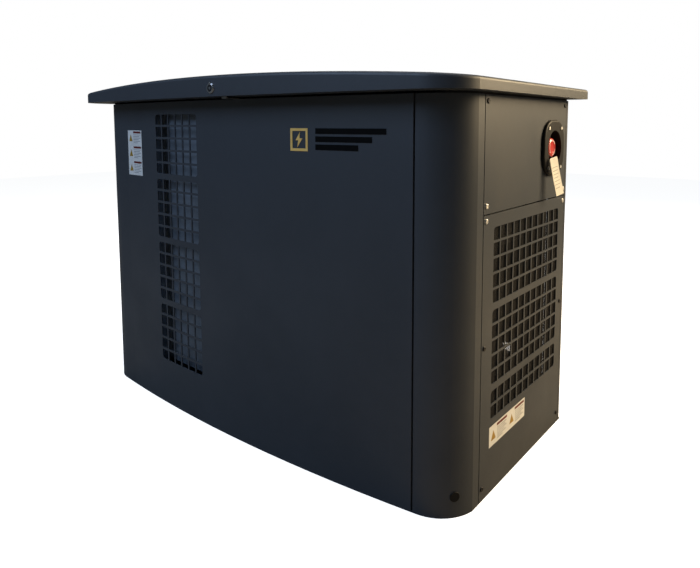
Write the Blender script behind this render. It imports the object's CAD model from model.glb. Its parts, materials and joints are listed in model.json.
import json
import math

import bpy
from mathutils import Matrix, Vector


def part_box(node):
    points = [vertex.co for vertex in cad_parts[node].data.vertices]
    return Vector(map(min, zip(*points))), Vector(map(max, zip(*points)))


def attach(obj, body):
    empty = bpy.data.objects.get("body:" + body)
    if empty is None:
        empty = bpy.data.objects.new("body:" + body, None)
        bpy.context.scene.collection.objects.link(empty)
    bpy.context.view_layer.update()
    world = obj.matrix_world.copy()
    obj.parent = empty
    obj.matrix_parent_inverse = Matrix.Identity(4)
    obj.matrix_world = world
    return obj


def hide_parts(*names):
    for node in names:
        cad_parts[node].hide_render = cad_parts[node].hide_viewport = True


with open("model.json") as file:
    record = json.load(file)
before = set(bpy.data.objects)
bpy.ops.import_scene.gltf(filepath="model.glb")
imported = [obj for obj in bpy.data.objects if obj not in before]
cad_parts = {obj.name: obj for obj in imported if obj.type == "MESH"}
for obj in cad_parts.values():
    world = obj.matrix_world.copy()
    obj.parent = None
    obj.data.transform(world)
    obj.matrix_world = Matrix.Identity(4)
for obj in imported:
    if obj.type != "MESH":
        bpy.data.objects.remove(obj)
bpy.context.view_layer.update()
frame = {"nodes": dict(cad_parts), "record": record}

# Home standby generator. Metres, in the frame of the model: +X along the cabinet, +Y to the rear, +Z up.

NODES = frame["nodes"]
MM = 0.001

HALF_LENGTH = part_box("side_panel_upper_right")[1][0]
FRONT_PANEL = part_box("front_panel")
BODY_FRONT = FRONT_PANEL[0][1]
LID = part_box("lid")
BOW_RADIUS = 3904.7 * MM
FRONT_FILM = 0.35 * MM                # from the front panel's bow to the front label's face
SIDE_FILM = 0.3 * MM                  # from the side panel to the side label's face
PRINT_GAP = 0.02 * MM                 # keeps printing clear of the face under it
PRINT = 0.06 * MM                     # thickness of the printing
TAG_CURL = 1.1 * MM                   # how far the card tag's middle stands out
LID_CROWN = 20.5 * MM                 # how far the lid's top falls from its middle to its ends


# ================================================================ camera, floor and light
def add_camera():
    data = bpy.data.cameras.new("camera")
    data.sensor_width = 36.0
    data.lens = 30.75
    data.shift_x = -0.0261
    data.shift_y = -0.1485
    camera = bpy.data.objects.new("camera", data)
    camera.location = (0.9852, -1.03175, 0.6669)
    camera.rotation_euler = (math.pi / 2 - 0.0937, 0.0, 0.660)
    bpy.context.scene.collection.objects.link(camera)
    bpy.context.scene.camera = camera


def add_softbox(name, place, aim, size, power, colour):
    data = bpy.data.lights.new(name, "AREA")
    data.shape = "RECTANGLE"
    data.size, data.size_y = size
    data.energy = power
    data.color = colour
    lamp = bpy.data.objects.new(name, data)
    lamp.location = place
    direction = Vector(aim) - Vector(place)
    lamp.rotation_euler = direction.to_track_quat("-Z", "Y").to_euler()
    bpy.context.scene.collection.objects.link(lamp)


def light_the_room():
    world = bpy.data.worlds.new("room")
    bpy.context.scene.world = world
    world.use_nodes = True
    tree = world.node_tree
    tree.nodes.clear()
    seen = add(tree, "ShaderNodeBackground", {"Color": (1.0, 1.0, 1.0, 1), "Strength": 1.0})
    cast = add(tree, "ShaderNodeBackground", {"Color": (0.70, 0.86, 1.0, 1), "Strength": 0.07})
    path = add(tree, "ShaderNodeLightPath")
    both = add(tree, "ShaderNodeMixShader", {0: path.outputs["Is Camera Ray"], 1: cast.outputs[0],
                                             2: seen.outputs[0]})
    out = tree.nodes.new("ShaderNodeOutputWorld")
    tree.links.new(both.outputs[0], out.inputs["Surface"])
    add_softbox("key", (1.7, 1.35, 1.4), (0.5, 0.05, 0.4), (0.9, 0.9), 72.0, (1.0, 0.77, 0.47))
    add_softbox("front_fill", (-0.9, -2.6, 2.3), (0.0, 0.0, 0.35), (2.2, 1.6), 46.0, (0.52, 0.70, 1.0))
    add_softbox("overhead", (0.1, 0.2, 3.0), (0.0, 0.0, 0.3), (2.4, 2.4), 26.0, (0.95, 0.98, 1.0))
    add_softbox("rear_fill", (-1.8, 2.6, 1.8), (0.0, 0.0, 0.35), (2.0, 1.6), 50.0, (0.95, 0.97, 1.0))
    bpy.context.scene.view_settings.view_transform = "Standard"


def add_floor():
    bpy.ops.mesh.primitive_plane_add(size=14.0, location=(0, 0, -0.0005))
    floor = bpy.context.object
    floor.name = "floor"
    bpy.ops.object.transform_apply(location=True, rotation=True, scale=True)
    mat, tree, shader = new_material("pale_floor")
    tone = mottle(tree, (0.93, 0.93, 0.93, 1), (0.90, 0.905, 0.91, 1), 0.6, 1.0)
    seen = add(tree, "ShaderNodeLightPath").outputs["Is Camera Ray"]
    bounce = (0.33, 0.29, 0.23, 1)
    tree.links.new(mixed(tree, seen, bounce, tone.outputs["Colour"]), shader.inputs["Base Color"])
    shader.inputs["Roughness"].default_value = 0.85
    shader.inputs["Specular IOR Level"].default_value = 0.1
    glow = mixed(tree, seen, (0.0, 0.0, 0.0, 1), (1.0, 1.0, 1.0, 1))
    tree.links.new(glow, shader.inputs["Emission Color"])
    shader.inputs["Emission Strength"].default_value = 0.9
    floor.data.materials.append(mat)


# ================================================================ shader helpers
def add(tree, kind, inputs=None, **settings):
    """Adds a node; an input may be a value or a socket to read from."""
    node = tree.nodes.new(kind)
    for key, value in settings.items():
        setattr(node, key, value)
    for key, value in (inputs or {}).items():
        if isinstance(value, bpy.types.NodeSocket):
            tree.links.new(value, node.inputs[key])
        else:
            node.inputs[key].default_value = value
    return node


def mixed(tree, factor, first, second):
    """A colour between two colours."""
    node = add(tree, "ShaderNodeMix", {0: factor, 6: first, 7: second}, data_type="RGBA")
    return node.outputs[2]


def sums(tree, operation, first, second=0.0, clamp=False):
    node = add(tree, "ShaderNodeMath", {0: first, 1: second}, operation=operation, use_clamp=clamp)
    return node.outputs[0]


def ranged(tree, value, low, high, to_low=0.0, to_high=1.0):
    inputs = {"Value": value, "From Min": low, "From Max": high, "To Min": to_low, "To Max": to_high}
    return add(tree, "ShaderNodeMapRange", inputs).outputs[0]


def new_group(name, inputs, outputs):
    group = bpy.data.node_groups.new(name, "ShaderNodeTree")
    for label, kind, value in inputs:
        socket = group.interface.new_socket(label, in_out="INPUT", socket_type="NodeSocket" + kind)
        socket.default_value = value
    for label, kind in outputs:
        group.interface.new_socket(label, in_out="OUTPUT", socket_type="NodeSocket" + kind)
    return group, group.nodes.new("NodeGroupInput").outputs, group.nodes.new("NodeGroupOutput").inputs


def build_grain_group():
    """Fine random relief; Stretch above 1 along an axis packs it closer there, as brushing does."""
    group, given, out = new_group("Fine grain",
                                  [("Size", "Float", 0.001), ("Stretch", "Vector", (1, 1, 1)),
                                   ("Detail", "Float", 3.0)],
                                  [("Height", "Float")])
    place = add(group, "ShaderNodeTexCoord").outputs["Object"]
    spread = add(group, "ShaderNodeVectorMath", {0: place, 1: given["Stretch"]}, operation="MULTIPLY")
    scale = sums(group, "DIVIDE", 1.0, given["Size"])
    noise = add(group, "ShaderNodeTexNoise", {"Vector": spread.outputs[0], "Scale": scale,
                                              "Detail": given["Detail"], "Roughness": 0.55})
    group.links.new(noise.outputs["Fac"], out["Height"])
    return group


def build_mottle_group():
    """Two tones of one finish in soft patches."""
    group, given, out = new_group("Mottled tone",
                                  [("First", "Color", (0.5, 0.5, 0.5, 1)),
                                   ("Second", "Color", (0.4, 0.4, 0.4, 1)),
                                   ("Size", "Float", 0.1), ("Contrast", "Float", 1.0)],
                                  [("Colour", "Color"), ("Mask", "Float")])
    place = add(group, "ShaderNodeTexCoord").outputs["Object"]
    scale = sums(group, "DIVIDE", 1.0, given["Size"])
    noise = add(group, "ShaderNodeTexNoise", {"Vector": place, "Scale": scale, "Detail": 6.0,
                                              "Roughness": 0.6})
    mask = ranged(group, noise.outputs["Fac"], 0.34, 0.66)
    mask = sums(group, "MULTIPLY", mask, given["Contrast"], clamp=True)
    group.links.new(mixed(group, mask, given["First"], given["Second"]), out["Colour"])
    group.links.new(mask, out["Mask"])
    return group


def build_dust_group():
    """Dust that settles on faces that look up, in uneven drifts."""
    group, given, out = new_group("Settled dust",
                                  [("Base", "Color", (0.1, 0.1, 0.1, 1)),
                                   ("Dust", "Color", (0.32, 0.30, 0.27, 1)),
                                   ("Amount", "Float", 0.3)],
                                  [("Colour", "Color"), ("Mask", "Float")])
    upward = add(group, "ShaderNodeSeparateXYZ", {0: add(group, "ShaderNodeNewGeometry").outputs["Normal"]})
    place = add(group, "ShaderNodeTexCoord").outputs["Object"]
    drift = add(group, "ShaderNodeTexNoise", {"Vector": place, "Scale": 14.0, "Detail": 8.0,
                                              "Roughness": 0.65})
    facing = ranged(group, upward.outputs["Z"], 0.1, 0.95)
    patches = ranged(group, drift.outputs["Fac"], 0.38, 0.72)
    mask = sums(group, "MULTIPLY", sums(group, "MULTIPLY", facing, patches), given["Amount"], clamp=True)
    group.links.new(mixed(group, mask, given["Base"], given["Dust"]), out["Colour"])
    group.links.new(mask, out["Mask"])
    return group


def build_edge_group():
    """Where an edge is rubbed: the rounded normal leaves the face's own."""
    group, given, out = new_group("Rubbed edges", [("Width", "Float", 0.0015), ("Amount", "Float", 0.5)],
                                  [("Mask", "Float")])
    soft = add(group, "ShaderNodeBevel", {"Radius": given["Width"]}, samples=6)
    face = add(group, "ShaderNodeNewGeometry").outputs["Normal"]
    same = add(group, "ShaderNodeVectorMath", {0: soft.outputs[0], 1: face}, operation="DOT_PRODUCT")
    lift = ranged(group, same.outputs["Value"], 0.995, 0.86)
    place = add(group, "ShaderNodeTexCoord").outputs["Object"]
    chips = add(group, "ShaderNodeTexNoise", {"Vector": place, "Scale": 120.0, "Detail": 5.0})
    uneven = ranged(group, chips.outputs["Fac"], 0.38, 0.62)
    mask = sums(group, "MULTIPLY", sums(group, "MULTIPLY", lift, uneven), given["Amount"], clamp=True)
    group.links.new(mask, out["Mask"])
    return group


def build_cell_group():
    """Open cells, as in foam or sand-cast skin."""
    group, given, out = new_group("Open cells", [("Size", "Float", 0.002)], [("Depth", "Float")])
    place = add(group, "ShaderNodeTexCoord").outputs["Object"]
    scale = sums(group, "DIVIDE", 1.0, given["Size"])
    cells = add(group, "ShaderNodeTexVoronoi", {"Vector": place, "Scale": scale, "Randomness": 1.0})
    group.links.new(ranged(group, cells.outputs["Distance"], 0.05, 0.6), out["Depth"])
    return group


GRAIN = build_grain_group()
MOTTLE = build_mottle_group()
DUST = build_dust_group()
EDGES = build_edge_group()
CELLS = build_cell_group()


def use(tree, group, inputs):
    node = tree.nodes.new("ShaderNodeGroup")
    node.node_tree = group
    for key, value in inputs.items():
        if isinstance(value, bpy.types.NodeSocket):
            tree.links.new(value, node.inputs[key])
        else:
            node.inputs[key].default_value = value
    return node


def mottle(tree, first, second, size, contrast):
    return use(tree, MOTTLE, {"First": first, "Second": second, "Size": size, "Contrast": contrast})


def new_material(name):
    mat = bpy.data.materials.new(name)
    mat.use_nodes = True
    return mat, mat.node_tree, mat.node_tree.nodes["Principled BSDF"]


def shade(colour, factor):
    return tuple(min(1.0, channel * factor) for channel in colour[:3]) + (1.0,)


def relief(tree, shader, height, strength, depth):
    bump = add(tree, "ShaderNodeBump", {"Height": height, "Strength": strength, "Distance": depth})
    tree.links.new(bump.outputs["Normal"], shader.inputs["Normal"])


# ================================================================ materials
def painted(name, colour, roughness=0.45, grain=0.0011, depth=0.00012, dust=0.09, rub=0.35, coat=0.0,
            patch=0.22, spread=0.82):
    """Powder coat and enamel: fine orange peel, soft tone patches, pale rubbed edges and a little dust."""
    mat, tree, shader = new_material(name)
    tone = mottle(tree, colour, shade(colour, spread), patch, 1.0)
    rubbed = use(tree, EDGES, {"Width": 0.0014, "Amount": rub})
    edged = mixed(tree, rubbed.outputs["Mask"], tone.outputs["Colour"], shade(colour, 2.6))
    dusty = use(tree, DUST, {"Base": edged, "Amount": dust})
    tree.links.new(dusty.outputs["Colour"], shader.inputs["Base Color"])
    fine = use(tree, GRAIN, {"Size": grain})
    speck = use(tree, GRAIN, {"Size": grain * 0.35, "Detail": 2.0})
    height = sums(tree, "ADD", fine.outputs["Height"], sums(tree, "MULTIPLY", speck.outputs["Height"], 0.5))
    gloss = ranged(tree, tone.outputs["Mask"], 0.0, 1.0, roughness - 0.04, roughness + 0.06)
    gloss = sums(tree, "ADD", gloss, sums(tree, "MULTIPLY", dusty.outputs["Mask"], 0.4), clamp=True)
    tree.links.new(gloss, shader.inputs["Roughness"])
    relief(tree, shader, height, 0.55, depth)
    shader.inputs["Coat Weight"].default_value = coat
    shader.inputs["Coat Roughness"].default_value = 0.25
    return mat


def metal(name, colour, roughness=0.35, stretch=(1, 1, 1), grain=0.002, depth=0.00008, dust=0.1, patch=0.05,
          stain=None, cast=0.0):
    """Bare and plated metals: brushed or cast relief, with stains in the tone."""
    mat, tree, shader = new_material(name)
    tone = mottle(tree, colour, stain or shade(colour, 0.72), patch, 0.8)
    dusty = use(tree, DUST, {"Base": tone.outputs["Colour"], "Amount": dust})
    tree.links.new(dusty.outputs["Colour"], shader.inputs["Base Color"])
    shader.inputs["Metallic"].default_value = 1.0
    fine = use(tree, GRAIN, {"Size": grain, "Stretch": stretch})
    height = fine.outputs["Height"]
    if cast:
        pits = use(tree, CELLS, {"Size": 0.0016})
        height = sums(tree, "ADD", height, sums(tree, "MULTIPLY", pits.outputs["Depth"], cast))
    rough = ranged(tree, fine.outputs["Height"], 0.3, 0.7, roughness - 0.08, roughness + 0.1)
    tree.links.new(rough, shader.inputs["Roughness"])
    relief(tree, shader, height, 0.5, depth)
    return mat


def moulded(name, colour, roughness=0.5, grain=0.0007, depth=0.00008, dust=0.15, coat=0.0, gloss=0.5):
    """Moulded plastic and rubber: spark-eroded grain and slightly scuffed high spots."""
    mat, tree, shader = new_material(name)
    tone = mottle(tree, colour, shade(colour, 0.8), 0.03, 0.8)
    rubbed = use(tree, EDGES, {"Width": 0.001, "Amount": 0.4})
    edged = mixed(tree, rubbed.outputs["Mask"], tone.outputs["Colour"], shade(colour, 1.9))
    dusty = use(tree, DUST, {"Base": edged, "Amount": dust})
    tree.links.new(dusty.outputs["Colour"], shader.inputs["Base Color"])
    fine = use(tree, GRAIN, {"Size": grain})
    rough = ranged(tree, fine.outputs["Height"], 0.3, 0.7, roughness - 0.05, roughness + 0.08)
    tree.links.new(rough, shader.inputs["Roughness"])
    relief(tree, shader, fine.outputs["Height"], 0.4, depth)
    shader.inputs["Specular IOR Level"].default_value = gloss
    shader.inputs["Coat Weight"].default_value = coat
    shader.inputs["Coat Roughness"].default_value = 0.12
    return mat


def printed(name, colour, roughness=0.4, fade=0.88, coat=0.0):
    """Film, ink and card: fine paper tooth with faint yellowing and scuffs."""
    mat, tree, shader = new_material(name)
    tone = mottle(tree, colour, shade(colour, fade), 0.018, 0.9)
    scuffs = use(tree, GRAIN, {"Size": 0.004, "Stretch": (1.0, 1.0, 3.0), "Detail": 6.0})
    worn = ranged(tree, scuffs.outputs["Height"], 0.58, 0.75, 0.0, 0.25)
    scuffed = mixed(tree, worn, tone.outputs["Colour"], shade(colour, 0.75))
    tree.links.new(scuffed, shader.inputs["Base Color"])
    tooth = use(tree, GRAIN, {"Size": 0.0005, "Detail": 2.0})
    tree.links.new(ranged(tree, tooth.outputs["Height"], 0.3, 0.7, roughness - 0.06, roughness + 0.08),
                   shader.inputs["Roughness"])
    relief(tree, shader, tooth.outputs["Height"], 0.25, 0.00004)
    shader.inputs["Coat Weight"].default_value = coat
    return mat


def foam_material():
    mat, tree, shader = new_material("foam")
    cells = use(tree, CELLS, {"Size": 0.0022})
    tone = mottle(tree, (0.055, 0.056, 0.060, 1), (0.036, 0.037, 0.040, 1), 0.04, 1.0)
    deep = mixed(tree, cells.outputs["Depth"], (0.012, 0.012, 0.013, 1), tone.outputs["Colour"])
    tree.links.new(deep, shader.inputs["Base Color"])
    shader.inputs["Roughness"].default_value = 0.95
    shader.inputs["Sheen Weight"].default_value = 0.2
    relief(tree, shader, cells.outputs["Depth"], 0.8, 0.0008)
    return mat


def gold_material():
    """Gold film: a lacquered satin foil, brushed upright."""
    mat, tree, shader = new_material("gold_film")
    tone = mottle(tree, (1.0, 0.66, 0.20, 1), (0.95, 0.58, 0.15, 1), 0.02, 0.9)
    tree.links.new(tone.outputs["Colour"], shader.inputs["Base Color"])
    brushed = use(tree, GRAIN, {"Size": 0.001, "Stretch": (5.0, 1.0, 0.6)})
    tree.links.new(ranged(tree, brushed.outputs["Height"], 0.3, 0.7, 0.36, 0.52), shader.inputs["Roughness"])
    relief(tree, shader, brushed.outputs["Height"], 0.3, 0.00003)
    shader.inputs["Coat Weight"].default_value = 0.3
    return mat


def winding_material():
    """Stacked laminations: close rings of thin steel edges under amber varnish."""
    mat, tree, shader = new_material("laminations")
    place = add(tree, "ShaderNodeTexCoord").outputs["Object"]
    rings = add(tree, "ShaderNodeTexWave", {"Vector": place, "Scale": 260.0, "Distortion": 0.4},
                wave_type="BANDS", bands_direction="X")
    colour = mixed(tree, rings.outputs["Fac"], (0.20, 0.15, 0.10, 1), (0.40, 0.31, 0.22, 1))
    tone = mottle(tree, colour, (0.28, 0.13, 0.045, 1), 0.03, 0.7)
    tree.links.new(tone.outputs["Colour"], shader.inputs["Base Color"])
    shader.inputs["Metallic"].default_value = 0.6
    tree.links.new(ranged(tree, rings.outputs["Fac"], 0.0, 1.0, 0.5, 0.32), shader.inputs["Roughness"])
    relief(tree, shader, rings.outputs["Fac"], 0.4, 0.0003)
    return mat


def build_materials():
    coat_colour = (0.045, 0.053, 0.066, 1)
    mats = {
        "powder_coat": painted("powder_coat", coat_colour),
        "galvanised_steel": metal("galvanised_steel", (0.56, 0.57, 0.58, 1), 0.42, (1, 1, 1), 0.012,
                                  patch=0.03, stain=(0.40, 0.42, 0.44, 1)),
        "zinc": metal("zinc", (0.90, 0.89, 0.86, 1), 0.45, (1, 1, 1), 0.0008),
        "black_oxide": metal("black_oxide", (0.055, 0.055, 0.06, 1), 0.4, (1, 1, 1), 0.0008, dust=0.3),
        "chrome": metal("chrome", (0.80, 0.80, 0.82, 1), 0.2, (1, 1, 6), 0.0012, depth=0.00003),
        "cast_aluminium": metal("cast_aluminium", (0.60, 0.61, 0.62, 1), 0.5, (1, 1, 1), 0.0022, 0.0003, 0.25,
                                cast=0.6),
        "cast_iron": metal("cast_iron", (0.16, 0.155, 0.15, 1), 0.55, (1, 1, 1), 0.003, 0.0004, 0.2,
                           stain=(0.20, 0.11, 0.06, 1), cast=0.8),
        "forged_steel": metal("forged_steel", (0.50, 0.50, 0.51, 1), 0.3, (0.15, 1, 1), 0.0012),
        "laminations": winding_material(),
        "muffler_steel": metal("muffler_steel", (0.42, 0.40, 0.37, 1), 0.45, (0.4, 1, 1), 0.006, patch=0.08,
                               stain=(0.30, 0.19, 0.11, 1)),
        "black_enamel": painted("black_enamel", (0.022, 0.022, 0.024, 1), 0.28, 0.003, 0.00008,
                                0.2, 0.3, 0.4),
        "grey_paint": painted("grey_paint", (0.30, 0.31, 0.32, 1), 0.4, 0.0015, 0.0001, 0.2, 0.3),
        "rubber": moulded("rubber", (0.020, 0.020, 0.021, 1), 0.75, 0.0012, 0.00015, 0.3),
        "foam": foam_material(),
        "foil_liner": metal("foil_liner", (0.33, 0.38, 0.45, 1), 0.62, (1, 1, 1), 0.02, 0.0006,
                            0.0, patch=0.06),
        "wire_mesh": painted("wire_mesh", (0.018, 0.018, 0.020, 1), 0.5, 0.001, 0.00006, 0.2, 0.0),
        "black_plastic": moulded("black_plastic", (0.006, 0.006, 0.0065, 1), 0.5, dust=0.03, gloss=0.22),
        "grey_plastic": moulded("grey_plastic", (0.13, 0.135, 0.14, 1), 0.45),
        "red_plastic": moulded("red_plastic", (0.62, 0.045, 0.035, 1), 0.3, 0.0009, 0.00004, 0.1, 0.5),
        "card": printed("card", (0.95, 0.92, 0.82, 1), 0.75, 0.9),
        "label_film": printed("label_film", (0.84, 0.84, 0.82, 1), 0.38, 0.92, 0.3),
        "gold_film": gold_material(),
        "battery_case": moulded("battery_case", (0.030, 0.031, 0.034, 1), 0.4, 0.001),
        "cable_sheath": moulded("cable_sheath", (0.018, 0.018, 0.019, 1), 0.5, 0.001),
    }
    extra = {
        "ink_red": printed("ink_red", (0.16, 0.018, 0.014, 1), 0.42, 0.7),
        "ink_ochre": printed("ink_ochre", (0.42, 0.25, 0.03, 1), 0.42, 0.75),
        "ink_grey": printed("ink_grey", (0.30, 0.31, 0.33, 1), 0.5, 0.8),
        "ink_black": moulded("ink_black", (0.002, 0.002, 0.002, 1), 0.6, 0.0008, 0.00003, 0.0, gloss=0.08),
        "ink_faint": printed("ink_faint", (0.60, 0.58, 0.52, 1), 0.7, 0.85),
        "string": printed("string", (0.62, 0.58, 0.48, 1), 0.85, 0.7),
        "screen": moulded("screen", (0.010, 0.022, 0.018, 1), 0.12, 0.004, 0.00001, 0.0, 0.8),
        "signal_green": moulded("signal_green", (0.03, 0.35, 0.08, 1), 0.25, 0.001, 0.00002, 0.0, 0.5),
    }
    return mats, extra


def dress_cad_nodes():
    for row in frame["record"]["subparts"]:
        node = NODES[row["node"]]
        finish = MATERIALS[row["material_slot"]]
        if node.material_slots:
            for material_slot in node.material_slots:
                material_slot.material = finish
        else:
            node.data.materials.append(finish)


# ================================================================ modelling helpers
def deselect():
    if bpy.context.object and bpy.context.object.mode != "OBJECT":
        bpy.ops.object.mode_set(mode="OBJECT")
    bpy.ops.object.select_all(action="DESELECT")


def activate(piece):
    deselect()
    piece.select_set(True)
    bpy.context.view_layer.objects.active = piece


def settle(name):
    """Names the new primitive and puts its place into its mesh."""
    piece = bpy.context.object
    piece.name = name
    piece.data.name = name
    bpy.ops.object.transform_apply(location=True, rotation=True, scale=True)
    return piece


def block(name, low, high):
    deselect()
    middle = [(a + b) / 2 for a, b in zip(low, high)]
    bpy.ops.mesh.primitive_cube_add(size=1.0, location=middle)
    bpy.context.object.scale = [b - a for a, b in zip(low, high)]
    return settle(name)


def pick(piece, kind, test):
    """Goes into edit mode with only the elements selected that pass the test."""
    activate(piece)
    bpy.ops.object.mode_set(mode="EDIT")
    bpy.ops.mesh.select_mode(type=kind)
    bpy.ops.mesh.select_all(action="DESELECT")
    bpy.ops.object.mode_set(mode="OBJECT")
    mesh = piece.data
    elements = {"FACE": mesh.polygons, "EDGE": mesh.edges, "VERT": mesh.vertices}[kind]
    for element in elements:
        element.select = test(element)
    bpy.ops.object.mode_set(mode="EDIT")


def leave_edit():
    bpy.ops.object.mode_set(mode="OBJECT")


def apply_modifiers(piece):
    activate(piece)
    for modifier in list(piece.modifiers):
        bpy.ops.object.modifier_apply(modifier=modifier.name)


def bevelled(piece, width, segments=2, limit=40.0):
    modifier = piece.modifiers.new("rounded_edges", "BEVEL")
    modifier.width = width
    modifier.segments = segments
    modifier.limit_method = "ANGLE"
    modifier.angle_limit = math.radians(limit)
    apply_modifiers(piece)
    return smooth(piece)


def smooth(piece, angle=35.0):
    activate(piece)
    bpy.ops.object.shade_smooth_by_angle(angle=math.radians(angle))
    return piece


def join(pieces, name):
    deselect()
    for piece in pieces:
        piece.select_set(True)
    bpy.context.view_layer.objects.active = pieces[0]
    if len(pieces) > 1:
        bpy.ops.object.join()
    pieces[0].name = name
    pieces[0].data.name = name
    return pieces[0]


def finish_piece(piece, finish, body, replaced=()):
    piece.data.materials.clear()
    piece.data.materials.append(finish)
    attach(piece, body)
    if replaced:
        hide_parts(*replaced)
    return piece


def outline_plate(name, points, place, thickness):
    """A flat plate with a polygon outline; place maps (u, v, depth) to the model's frame."""
    mesh = bpy.data.meshes.new(name)
    mesh.from_pydata([place(u, v, 0.0) for u, v in points], [], [list(range(len(points)))])
    piece = bpy.data.objects.new(name, mesh)
    bpy.context.scene.collection.objects.link(piece)
    out = Vector(place(0, 0, 1)) - Vector(place(0, 0, 0))
    pick(piece, "FACE", lambda face: True)
    bpy.ops.mesh.extrude_region_move(TRANSFORM_OT_translate={"value": tuple(out * thickness)})
    bpy.ops.mesh.select_all(action="SELECT")
    bpy.ops.mesh.normals_make_consistent(inside=False)
    leave_edit()
    return piece


def spun(name, profile, place, direction, segments=64):
    """A solid of revolution about an axis through place; the profile is (radius, along)."""
    deselect()
    mesh = bpy.data.meshes.new(name)
    points = [(radius, 0.0, along) for radius, along in profile]
    mesh.from_pydata(points, [(index, index + 1) for index in range(len(points) - 1)], [])
    piece = bpy.data.objects.new(name, mesh)
    bpy.context.scene.collection.objects.link(piece)
    pick(piece, "VERT", lambda vertex: True)
    bpy.ops.mesh.spin(steps=segments, angle=math.tau, center=(0, 0, 0), axis=(0, 0, 1))
    bpy.ops.mesh.select_all(action="SELECT")
    bpy.ops.mesh.remove_doubles(threshold=1e-6)
    bpy.ops.mesh.normals_make_consistent(inside=False)
    leave_edit()
    turn = Vector(direction).to_track_quat("Z", "Y").to_matrix().to_4x4()
    mesh.transform(Matrix.Translation(place) @ turn)
    return piece


def array(piece, count, step):
    modifier = piece.modifiers.new("row", "ARRAY")
    modifier.count = count
    modifier.use_relative_offset = False
    modifier.use_constant_offset = True
    modifier.constant_offset_displace = step
    apply_modifiers(piece)


# ================================================================ places on the skins
def bow_y(x):
    """Y of the bowed front's outer face."""
    return BODY_FRONT + BOW_RADIUS - math.sqrt(BOW_RADIUS**2 - x**2)


def bow_place(centre_x, stand_off):
    """Maps (u across, v up, depth out) to the bow, on the tangent plane at centre_x."""
    slope = math.asin(centre_x / BOW_RADIUS)
    across = Vector((math.cos(slope), math.sin(slope), 0))
    out = Vector((math.sin(slope), -math.cos(slope), 0))
    origin = Vector((centre_x, bow_y(centre_x), 0)) + out * stand_off

    def place(u, v, depth):
        return origin + across * (u - centre_x) + Vector((0, 0, v)) + out * depth

    return place


def side_place(stand_off):
    def place(u, v, depth):
        return Vector((HALF_LENGTH + stand_off + depth, u, v))

    return place


def rectangle(u0, u1, v0, v1):
    return [(u0, v0), (u1, v0), (u1, v1), (u0, v1)]


def rounded(u0, u1, v0, v1, radius, steps=5):
    points = []
    corners = [(u1 - radius, v1 - radius, 0), (u0 + radius, v1 - radius, 1),
               (u0 + radius, v0 + radius, 2), (u1 - radius, v0 + radius, 3)]
    for u, v, quarter in corners:
        for step in range(steps + 1):
            angle = (quarter + step / steps) * math.pi / 2
            points.append((u + radius * math.cos(angle), v + radius * math.sin(angle)))
    return points


# ================================================================ labels
def notice(name, place, u0, v0, width, height):
    """One blank notice: a header bar, a plain triangle and rows of bars where lines of words would be."""
    head = rounded(u0 + width * 0.40, u0 + width * 0.95, v0 + height * 0.80, v0 + height * 0.93,
                   height * 0.02)
    header = outline_plate(f"{name}_header", head, place, PRINT)
    peak = u0 + width * 0.22
    triangle = [(peak - width * 0.125, v0 + height * 0.27), (peak + width * 0.125, v0 + height * 0.27),
                (peak, v0 + height * 0.73)]
    sign = outline_plate(f"{name}_triangle", triangle, place, PRINT)
    rows = []
    for index, reach in enumerate((0.92, 0.86, 0.93, 0.80, 0.90, 0.72)):
        top = v0 + height * (0.72 - index * 0.105)
        row = rectangle(u0 + width * 0.42, u0 + width * reach, top - height * 0.035, top)
        rows.append(outline_plate(f"{name}_row_{index}", row, place, PRINT))
    return header, sign, rows


def label_printing(name, notices, body):
    headers = [parts[0] for parts in notices]
    signs = [parts[1] for parts in notices]
    rows = [row for parts in notices for row in parts[2]]
    finish_piece(join(headers, f"{name}_headers"), EXTRA["ink_red"], body)
    finish_piece(join(signs, f"{name}_triangles"), EXTRA["ink_ochre"], body)
    finish_piece(join(rows, f"{name}_rows"), EXTRA["ink_grey"], body)


def front_label_printing():
    low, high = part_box("front_label")
    place = bow_place((low[0] + high[0]) / 2, FRONT_FILM + PRINT_GAP)
    height = (high[2] - low[2]) / 3
    width = high[0] - low[0]
    notices = [notice(f"front_notice_{index}", place, low[0], low[2] + index * height, width, height)
               for index in range(3)]
    label_printing("front_label", notices, "front_panel")


def side_label_printing():
    low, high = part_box("side_label")
    place = side_place(SIDE_FILM + PRINT_GAP)
    width = (high[1] - low[1]) / 2
    notices = [notice(f"side_notice_{index}", place, low[1] + index * width, low[2], width, high[2] - low[2])
               for index in range(2)]
    label_printing("side_label", notices, "cabinet")


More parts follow.
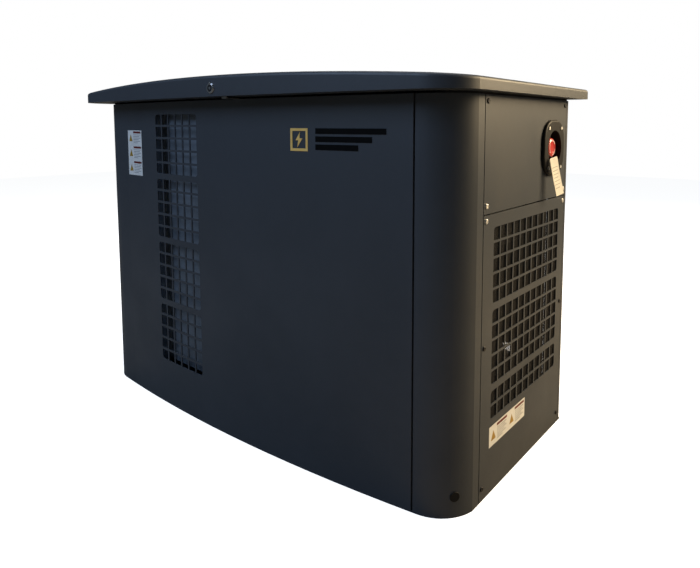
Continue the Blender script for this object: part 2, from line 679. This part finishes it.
# ================================================================ badge
def badge_pieces():
    low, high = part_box("badge")
    top = high[2]
    size = 42.0 * MM
    bar_gap, bar_pitch, bar_height = 18.0 * MM, 14.5 * MM, 10.0 * MM
    left = low[0]
    place = bow_place(left + size / 2, 0.05 * MM)
    rim = 5.0 * MM
    frame_bars = [rectangle(left, left + size, top - rim, top),
                  rectangle(left, left + size, top - size, top - size + rim),
                  rectangle(left, left + rim, top - size + rim, top - rim),
                  rectangle(left + size - rim, left + size, top - size + rim, top - rim)]
    sides = [outline_plate(f"badge_side_{index}", bar, place, 0.7 * MM)
             for index, bar in enumerate(frame_bars)]
    bolt_shape = [(0.56, 0.84), (0.30, 0.47), (0.46, 0.47), (0.40, 0.16), (0.70, 0.56), (0.53, 0.56)]
    bolt = outline_plate("badge_bolt", [(left + u * size, top - size + v * size) for u, v in bolt_shape],
                         place, 0.8 * MM)
    emblem = join(sides + [bolt], "badge_emblem")
    bevelled(emblem, 0.12 * MM, 1)
    finish_piece(emblem, MATERIALS["gold_film"], "front_panel", ["badge"])
    bars = []
    bars_left = left + size + bar_gap
    for index, length in enumerate((149.0, 121.0, 93.0)):
        bar_top = top - index * bar_pitch
        pieces = 4
        step = length * MM / pieces
        for part in range(pieces):
            u0 = bars_left + part * step
            middle = bow_place(u0 + step / 2, 0.05 * MM)
            shape = rectangle(u0, u0 + step, bar_top - bar_height, bar_top)
            bars.append(outline_plate(f"bar_{index}_{part}", shape, middle, 0.8 * MM))
    bar_piece = join(bars, "badge_bars")
    finish_piece(bar_piece, EXTRA["ink_black"], "front_panel", ["badge"])


# ================================================================ lid lock
def lock_ring():
    """The dark groove and bright middle pressed into the lock's cover."""
    low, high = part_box("lock_cover")
    front = low[1] - 0.05 * MM
    centre = Vector(((low[0] + high[0]) / 2, front, low[2] + (high[0] - low[0]) / 2))
    reach = (high[0] - low[0]) / 2
    profile = [(reach * 0.30, 0.0), (reach * 0.30, 0.12 * MM), (reach * 0.72, 0.12 * MM), (reach * 0.72, 0.0),
               (reach * 0.30, 0.0)]
    ring = spun("lock_cover_groove", profile, centre, (0, 1, 0), 48)
    finish_piece(smooth(ring), MATERIALS["black_oxide"], "lock_cover")


# ================================================================ emergency stop
def stop_cap_piece():
    low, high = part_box("stop_cap")
    middle = Vector((0, (low[1] + high[1]) / 2, (low[2] + high[2]) / 2))
    radius = (high[1] - low[1]) / 2
    depth = high[0] - low[0]
    profile = [(0.0, depth - 1.6 * MM), (radius * 0.50, depth - 1.3 * MM), (radius * 0.58, depth - 0.9 * MM),
               (radius * 0.60, depth - 0.1 * MM), (radius * 0.66, depth), (radius * 0.82, depth - 0.3 * MM),
               (radius * 0.93, depth - 1.6 * MM), (radius * 0.985, depth - 3.6 * MM),
               (radius, depth - 5.6 * MM), (radius, 0.8 * MM), (radius * 0.96, 0.0), (0.0, 0.0)]
    cap = spun("stop_head", profile, Vector((low[0], middle.y, middle.z)), (1, 0, 0))
    smooth(cap, 40.0)
    finish_piece(cap, MATERIALS["red_plastic"], "stop_cap", ["stop_cap"])
    face_centre = Vector((high[0] - 0.25 * MM, middle.y, middle.z))
    marks = [arrow_mark(index, radius, face_centre) for index in range(3)]
    arrows = join(marks, "stop_head_arrows")
    finish_piece(arrows, MATERIALS["label_film"], "stop_cap")


def arrow_mark(index, radius, centre):
    """A curved turn-to-release arrow on the head's ring."""
    start = index * math.tau / 3 + 0.5
    inner, outer, barb = radius * 0.685, radius * 0.76, radius * 0.06
    points = []
    steps = 8
    sweep = 1.1
    for step in range(steps + 1):
        angle = start + sweep * step / steps
        points.append((math.cos(angle) * outer, math.sin(angle) * outer))
    tip = start + sweep + 0.32
    neck = start + sweep
    points.append((math.cos(neck) * (outer + barb), math.sin(neck) * (outer + barb)))
    points.append((math.cos(tip) * (inner + outer) / 2, math.sin(tip) * (inner + outer) / 2))
    points.append((math.cos(neck) * (inner - barb), math.sin(neck) * (inner - barb)))
    for step in range(steps, -1, -1):
        angle = start + sweep * step / steps
        points.append((math.cos(angle) * inner, math.sin(angle) * inner))

    def place(u, v, depth):
        return centre + Vector((depth, u, v))

    return outline_plate(f"arrow_{index}", points, place, 0.2 * MM)


def tag_pieces():
    """Card tag with a punched, reinforced eye, a slight curl and blank lines, on a twisted string."""
    cap_low, cap_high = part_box("stop_cap")
    centre = Vector((0, (cap_low[1] + cap_high[1]) / 2, (cap_low[2] + cap_high[2]) / 2))
    bezel_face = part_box("stop_bezel")[1][0]
    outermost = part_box("stop_tag")[1][0]
    top = Vector((bezel_face + 8.0 * MM, centre.y - 28.0 * MM, centre.z - 18.0 * MM))
    bottom = Vector((outermost - 0.8 * MM, centre.y - 14.0 * MM, centre.z - 94.0 * MM))
    down = (bottom - top).normalized()
    across = Vector((0.24, 0.97, 0))
    across = (across - down * across.dot(down)).normalized()
    out = across.cross(down)
    if out.x < 0:
        out = -out
    length, width = (bottom - top).length, 25.0 * MM
    deselect()
    bpy.ops.mesh.primitive_grid_add(x_subdivisions=10, y_subdivisions=28, size=1.0)
    card = settle("tag_card")
    for vertex in card.data.vertices:
        u, v = vertex.co.x, vertex.co.y + 0.5
        curl = TAG_CURL * math.sin(v * math.pi) * (1 - 2 * u * u) - 0.5 * MM * u
        taper = 1.0 if v > 0.04 else 0.86 + 0.14 * v / 0.04
        vertex.co = top + down * (v * length) + across * (u * width * taper) - out * curl
    thick = card.modifiers.new("card_thickness", "SOLIDIFY")
    thick.thickness = 0.5 * MM
    thick.offset = 0.0
    apply_modifiers(card)
    smooth(card, 30.0)
    finish_piece(card, MATERIALS["card"], "stop_stem", ["stop_tag"])
    lines = []
    for index in range(7):
        v = 0.26 + index * 0.09

        def place(u, w, depth, v=v):
            bend = TAG_CURL * math.sin(v * math.pi)
            return top + down * (v * length + w) + across * u - out * bend + out * (0.55 * MM + depth)

        reach = (0.36, 0.30, 0.36, 0.22, 0.34, 0.36, 0.18)[index] * width
        shape = rectangle(-0.36 * width, reach, -0.8 * MM, 0.8 * MM)
        lines.append(outline_plate(f"tag_line_{index}", shape, place, PRINT))
    finish_piece(join(lines, "tag_lines"), EXTRA["ink_faint"], "stop_stem")
    string_loop(centre, top, down, out)


def string_loop(centre, top, down, out):
    """A cotton string: a loop round the neck, drawn down to the card's eye."""
    neck = 11.6 * MM
    plane_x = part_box("stop_cap")[0][0] - 3.5 * MM
    eye = top + down * 4.0 * MM + out * 0.3 * MM
    points = []
    turns = 22
    start = math.radians(215.0)
    for index in range(turns + 1):
        angle = start - math.radians(290.0) * index / turns
        points.append(Vector((plane_x, centre.y + neck * math.cos(angle), centre.z + neck * math.sin(angle))))
    points = [eye + Vector((0, 0.6 * MM, 0))] + points + [eye - Vector((0, 0.6 * MM, 0))]
    curve = bpy.data.curves.new("tag_string", "CURVE")
    curve.dimensions = "3D"
    spline = curve.splines.new("NURBS")
    spline.points.add(len(points) - 1)
    for target, point in zip(spline.points, points):
        target.co = (*point, 1.0)
    spline.order_u = 3
    spline.use_endpoint_u = True
    curve.bevel_depth = 0.7 * MM
    curve.bevel_resolution = 3
    curve.resolution_u = 4
    piece = bpy.data.objects.new("tag_string", curve)
    bpy.context.scene.collection.objects.link(piece)
    activate(piece)
    bpy.ops.object.convert(target="MESH")
    piece = bpy.context.object
    smooth(piece, 60.0)
    finish_piece(piece, EXTRA["string"], "stop_stem", ["stop_tag"])


# ================================================================ controller
def controller_face():
    """Screen, keys and a running lamp on the controller's top, clear of its mode switch."""
    low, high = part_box("controller")
    switch_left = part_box("mode_switch")[0][0]
    top = high[2]
    wide, deep = high[0] - low[0], high[1] - low[1]

    def place(u, v, depth):
        return Vector((u, v, top + depth))

    margin = low[0] + wide * 0.10
    screen_shape = rounded(margin, low[0] + wide * 0.52, low[1] + deep * 0.52, high[1] - deep * 0.12, 2 * MM)
    screen = outline_plate("controller_screen", screen_shape, place, 0.5 * MM)
    finish_piece(bevelled(screen, 0.15 * MM, 1), EXTRA["screen"], "cabinet")
    keys = []
    pitch = wide * 0.11
    for column in range(4):
        for row in range(2):
            u = margin + column * pitch
            v = low[1] + deep * (0.14 + row * 0.17)
            if u + pitch * 0.72 < switch_left - 2 * MM:
                shape = rounded(u, u + pitch * 0.72, v, v + deep * 0.11, 1.2 * MM)
                keys.append(outline_plate(f"controller_key_{column}_{row}", shape, place, 0.8 * MM))
    key_piece = bevelled(join(keys, "controller_keys"), 0.25 * MM, 2)
    finish_piece(key_piece, MATERIALS["grey_plastic"], "cabinet")
    lamp_left, lamp_front, lamp_size = low[0] + wide * 0.60, high[1] - deep * 0.24, 5 * MM
    lamp_shape = rounded(lamp_left, lamp_left + lamp_size, lamp_front, lamp_front + lamp_size, 2.4 * MM)
    lamp = outline_plate("controller_lamp", lamp_shape, place, 0.9 * MM)
    finish_piece(bevelled(lamp, 0.3 * MM, 2), EXTRA["signal_green"], "cabinet")


# ================================================================ vents
def vent_mesh_piece(side):
    """Woven wire behind the side vents: two layers of fine wires at right angles."""
    low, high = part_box("vent_meshes")
    pitch, wire = 2.4 * MM, 0.55 * MM
    face_x = high[0] - 0.6 * MM
    y0, y1, z0, z1 = low[1], high[1], low[2], high[2]
    wires = []
    upright = block("wire", (face_x - wire, y0, z0), (face_x, y0 + wire * 2, z1))
    bevelled(upright, wire * 0.4, 1)
    array(upright, int((y1 - y0) / pitch), (0, pitch, 0))
    wires.append(upright)
    level = block("wire", (face_x - wire * 2, y0, z0), (face_x - wire, y1, z0 + wire * 2))
    bevelled(level, wire * 0.4, 1)
    array(level, int((z1 - z0) / pitch), (0, 0, pitch))
    wires.append(level)
    mesh = join(wires, f"vent_mesh_{side}")
    if side == "left":
        mesh.data.transform(Matrix.Scale(-1, 4, (1, 0, 0)))
        pick(mesh, "FACE", lambda face: True)
        bpy.ops.mesh.normals_make_consistent(inside=False)
        leave_edit()
    finish_piece(mesh, MATERIALS["wire_mesh"], "cabinet", ["vent_meshes"])


# ================================================================ lid foam
def foam_piece():
    """Profiled acoustic foam: rows of soft peaks that follow the lid's crown."""
    low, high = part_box("lid_foam")
    deselect()
    bpy.ops.mesh.primitive_grid_add(x_subdivisions=190, y_subdivisions=92, size=1.0)
    pad = settle("acoustic_foam")
    half = LID[1][0]
    peak_pitch = 36.0 * MM
    thickness, peak_height = 7.0, 4.6   # millimetres
    for vertex in pad.data.vertices:
        x = low[0] + (vertex.co.x + 0.5) * (high[0] - low[0])
        y = low[1] + (vertex.co.y + 0.5) * (high[1] - low[1])
        base = high[2] - 2.0 * MM - LID_CROWN * (x / half)**2
        wave = math.sin(x / peak_pitch * math.tau) * math.sin(y / peak_pitch * math.tau)
        rim = min(1.0, (0.5 - abs(vertex.co.x)) * 40, (0.5 - abs(vertex.co.y)) * 20)
        vertex.co = (x, y, base - (thickness + peak_height * wave) * MM * rim)
    thick = pad.modifiers.new("foam_thickness", "SOLIDIFY")
    thick.thickness = 1.6 * MM
    thick.offset = 1.0
    apply_modifiers(pad)
    smooth(pad, 60.0)
    finish_piece(pad, MATERIALS["foam"], "lid", ["lid_foam"])


# ================================================================ make everything
MATERIALS, EXTRA = build_materials()
add_camera()
light_the_room()
add_floor()
dress_cad_nodes()
front_label_printing()
side_label_printing()
badge_pieces()
lock_ring()
stop_cap_piece()
tag_pieces()
controller_face()
vent_mesh_piece("right")
vent_mesh_piece("left")
foam_piece()
deselect()
